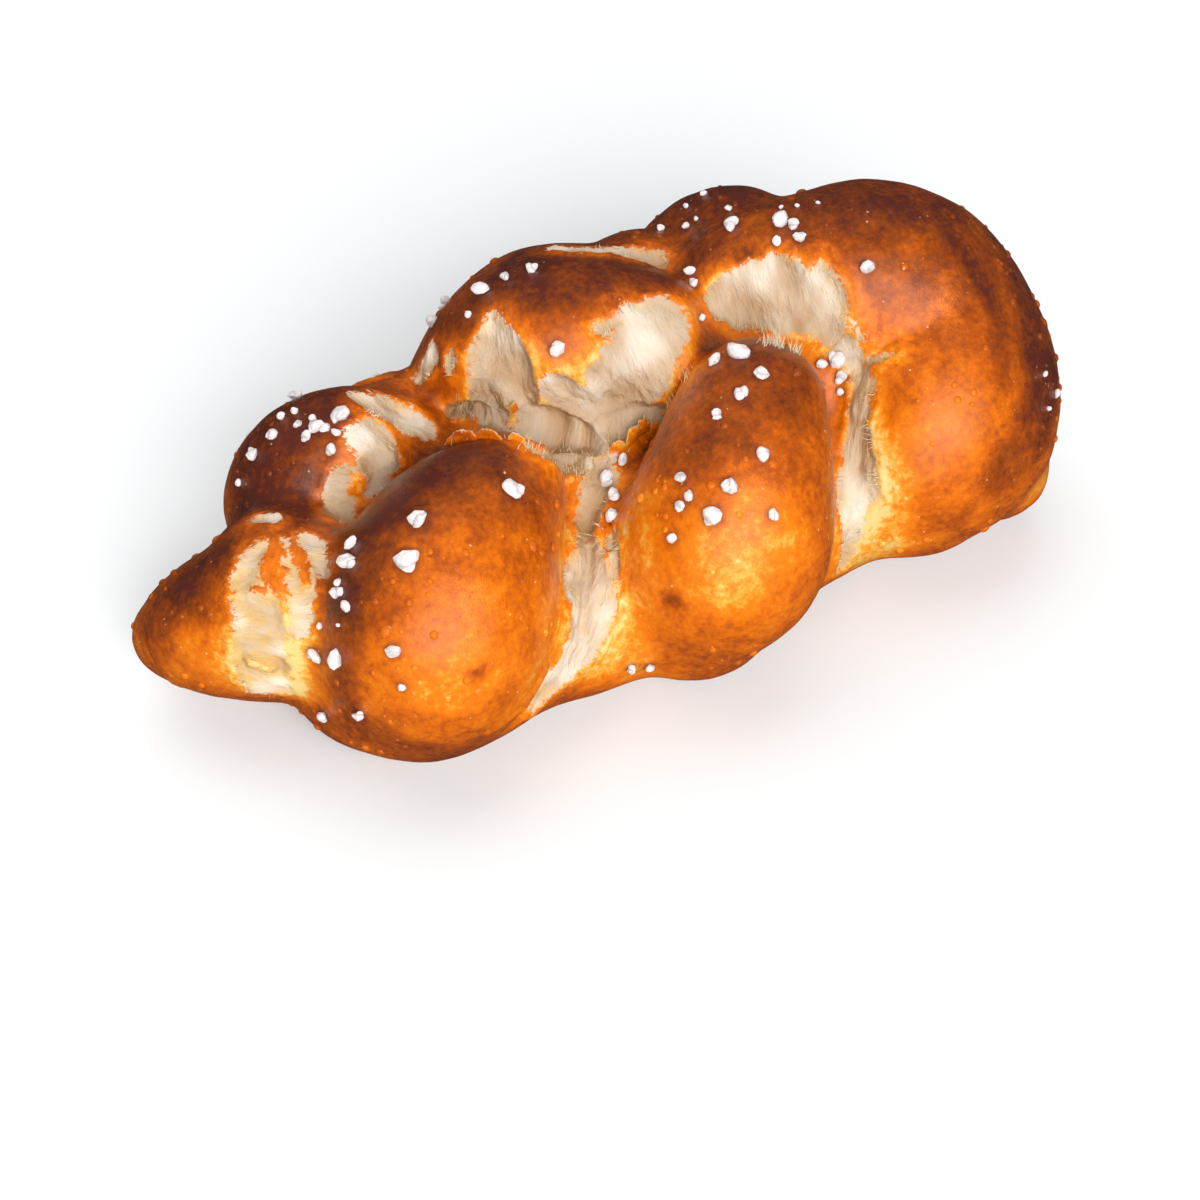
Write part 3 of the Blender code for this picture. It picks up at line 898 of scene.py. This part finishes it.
def makeFibres():
    rng = np.random.default_rng(fibreLook["seed"])
    grouping = eased(lumps(loafPoints, 3, 43, 2), 0, .5)
    fits = np.abs(readValues(loafMesh, "tear")) < fibreLook["rim"]
    points, faces = [], []
    for index in pickPoints(rng, fits, grouping, fibreLook["count"]):
        length = fibreLook["length"][0] + np.ptp(fibreLook["length"]) * rng.random() ** 2
        way = loafInward[index] + loafNormals[index] * rng.uniform(.1, .9) + rng.normal(size=3) * .35
        curl = Vector(rng.normal(size=3) * .5)
        strand(points, faces, Vector(loafPoints[index]), Vector(way).normalized(), curl, length)
    for x, y, z, strewn, count, length in fibreLook["tufts"]:
        for _ in range(count):
            aim = np.array([x, y, z]) + rng.normal(size=3) * strewn + shift
            foot, normal = crustTree.find_nearest(Vector(aim) * mm)[:2]
            way = (Vector((.1, .1, 1)) + normal * .3 + Vector(rng.normal(size=3) * .25)).normalized()
            curl = Vector(rng.normal(size=3) * .4)
            strand(points, faces, foot / mm - way * .2, way, curl, length * rng.uniform(.4, 1.1))
    mesh = bpy.data.meshes.new("crumb_fibres")
    mesh.from_pydata(np.array(points) * mm, [], faces)
    mesh.shade_smooth()
    return mesh


def fibreFinish():
    paint = Finish("crumb_strands", {"Roughness": .8})
    tint = paint.noise(paint.place(), 3, 2).eased(-.5, .6)
    paint.feed(Base_Color=paint.blend(tint, fibreLook["dark"], fibreLook["pale"]))
    return paint.material


addPiece("crumb_fibres", makeFibres(), fibreFinish())
print("fibres")

# Flakes: torn edges of the crust that stand up along the rims.
flakeLook = {
    "seed": 5,
    "thick": .5,
    "columns": 26,
    "rows": 7,
    # Where the foot of each flake starts and ends, how high it stands and how dark it baked.
    "flakes": [((-27, 2, 42), (-23, -4, 45), 2.2, .75), ((-23, -3, 44), (-20, -7, 45), 1.7, .6),
               ((-19, -7, 45), (-17, -9, 44), 2, .45), ((0, -9, 34), (3, -10, 34), 2.6, .4),
               ((3, -10, 34), (8, -10, 36), 3.2, .42), ((-11, 4, 37), (-9, 6, 38), 2.4, .4),
               ((31, -20, 50), (35, -18, 45), 1.8, .6)],
}


def makeFlakes():
    rng = np.random.default_rng(flakeLook["seed"])
    columns, rows = flakeLook["columns"], flakeLook["rows"]
    points, faces, bakes, tears = [], [], [], []
    for start, end, height, bake in flakeLook["flakes"]:
        first = len(points)
        across = np.array(end, float) - start
        across /= norm(across)
        aside = np.cross(across, (0, 0, 1))
        shares = np.linspace(0, 1, columns)
        along = np.outer(shares, np.array(end, float) - start) + rng.uniform(0, 90, 3)
        ragged = 1 + .35 * lumps(along, 4, 51) + .2 * lumps(along, 1.3, 55, 2)
        for side in (-1, 1):
            for share, spike in zip(shares, ragged):
                aim = np.array(start) + (np.array(end) - start) * share + shift
                foot, normal = crustTree.find_nearest(Vector(aim) * mm)[:2]
                tall = height * np.sin(np.pi * (.04 + .92 * share)) ** .35 * spike
                for row in np.linspace(0, 1, rows):
                    bent = np.array(normal) * .25 + (.12 * np.sin(share * 5 + bake * 40) - .2) * row * aside
                    thick = flakeLook["thick"] / 2 * (1 - .7 * row)
                    points.append(np.array(foot) / mm + (np.array([0, 0, 1.]) + bent) * (tall * row - .6)
                                  + aside * thick * side)
                    bakes.append(bake - .25 * row)
                    tears.append(-4 + 4.2 * row ** 2)
        count = columns * rows
        for column in range(columns - 1):
            for row in range(rows - 1):
                near = first + column * rows + row
                back = near + count
                faces += [(near, near + 1, near + rows + 1, near + rows),
                          (back, back + rows, back + rows + 1, back + 1)]
            for row in (0, rows - 1):
                near = first + column * rows + row
                faces.append((near, near + rows, near + count + rows, near + count)[::-1 if row else 1])
        for column in (0, columns - 1):
            for row in range(rows - 1):
                near = first + column * rows + row
                faces.append((near, near + 1, near + count + 1, near + count)[::1 if column else -1])
    mesh = bpy.data.meshes.new("crust_flakes")
    points = np.array(points)
    points += .25 * np.stack([lumps(points, 1.2, seed, 2) for seed in (52, 53, 54)], axis=1)
    mesh.from_pydata(points * mm, [], faces)
    setValues(mesh, bake=np.array(bakes), tear=np.array(tears), grain=points)
    mesh.shade_smooth()
    return mesh


addPiece("crust_flakes", makeFlakes(), crust)
print("flakes")

# Camera, floor and light. The camera stands in millimetres; the lights and the floor are in metres.
view = {"eye": (-179.4, -255.2, 303.1), "aim": (-9.0, -11.9, 6.2), "lens": 72}
lightLook = {
    "floor": (.57, .585, .593),
    "floorSize": 40,
    "floorGlow": .27,
    "key": {"place": (-.22, -.63, .42), "aim": (0, 0, .03), "size": (.8, .4), "power": 6.6,
            "colour": (1, .98, .95)},
    "overhead": {"place": (.1, .5, .8), "aim": (0, 0, 0), "size": (1.4, 1.3), "power": 11,
                 "colour": (1, 1, 1)},
    # The room: which way each glow lies, the cosines where it starts and is full, and how strong it is
    # outside and within.
    "glows": [((-.2, -.4, .9), -.7, .9, .05, .17), ((-.3, -.78, .52), .93, .995, 0, 10)],
}


def stand(obj, place, aim):  # places it, facing the aim
    obj.location = place
    obj.rotation_euler = (Vector(aim) - Vector(place)).to_track_quat("-Z", "Y").to_euler()


def addCamera():
    camera = addObject("camera", bpy.data.cameras.new("camera"))
    camera.data.lens = view["lens"]
    camera.data.sensor_width = 36
    camera.data.clip_start = .01
    stand(camera, Vector(view["eye"]), Vector(view["aim"]))
    camera.location *= mm
    bpy.context.scene.camera = camera


def addFloor():
    bpy.ops.mesh.primitive_plane_add(size=lightLook["floorSize"])
    floor = bpy.context.object
    floor.name = "floor"
    pale = (*lightLook["floor"], 1)
    paint = Finish("pale_floor", {"Base Color": pale, "Roughness": .8, "Specular IOR Level": .1,
                                  "Emission Color": pale, "Emission Strength": lightLook["floorGlow"]})
    floor.data.materials.append(paint.material)
    floor.visible_glossy = False


def addLight(name, place, aim, size, power, colour):
    light = bpy.data.lights.new(name, "AREA")
    light.shape = "RECTANGLE"
    light.size, light.size_y = size
    light.energy = power
    light.color = colour
    obj = addObject(name, light)
    stand(obj, place, aim)
    obj.visible_camera = False
    obj.visible_glossy = False   # the crust mirrors the room's glow instead


def addStudio():  # a dim room with a soft glow on the side of the key, which is all that the crust mirrors
    world = bpy.data.worlds.new("studio")
    world.use_nodes = True
    nodes, links = world.node_tree.nodes, world.node_tree.links
    way = nodes.new("ShaderNodeTexCoord")
    strength = nodes.new("ShaderNodeMath")
    for socket, (toward, start, end, dim, bright) in enumerate(lightLook["glows"]):
        facing = nodes.new("ShaderNodeVectorMath")
        facing.operation = "DOT_PRODUCT"
        facing.inputs[1].default_value = Vector(toward).normalized()
        links.new(way.outputs["Generated"], facing.inputs[0])
        glow = nodes.new("ShaderNodeMapRange")
        glow.interpolation_type = "SMOOTHSTEP"
        for key, value in {"From Min": start, "From Max": end, "To Min": dim, "To Max": bright}.items():
            glow.inputs[key].default_value = value
        links.new(facing.outputs["Value"], glow.inputs["Value"])
        links.new(glow.outputs["Result"], strength.inputs[socket])
    links.new(strength.outputs["Value"], nodes["Background"].inputs["Strength"])
    nodes["Background"].inputs["Color"].default_value = (1, 1, 1, 1)
    bpy.context.scene.world = world


addCamera()
addFloor()
addLight("key", **lightLook["key"])
addLight("overhead", **lightLook["overhead"])
addStudio()
bpy.context.scene.view_settings.view_transform = "Standard"
print("camera and light set")
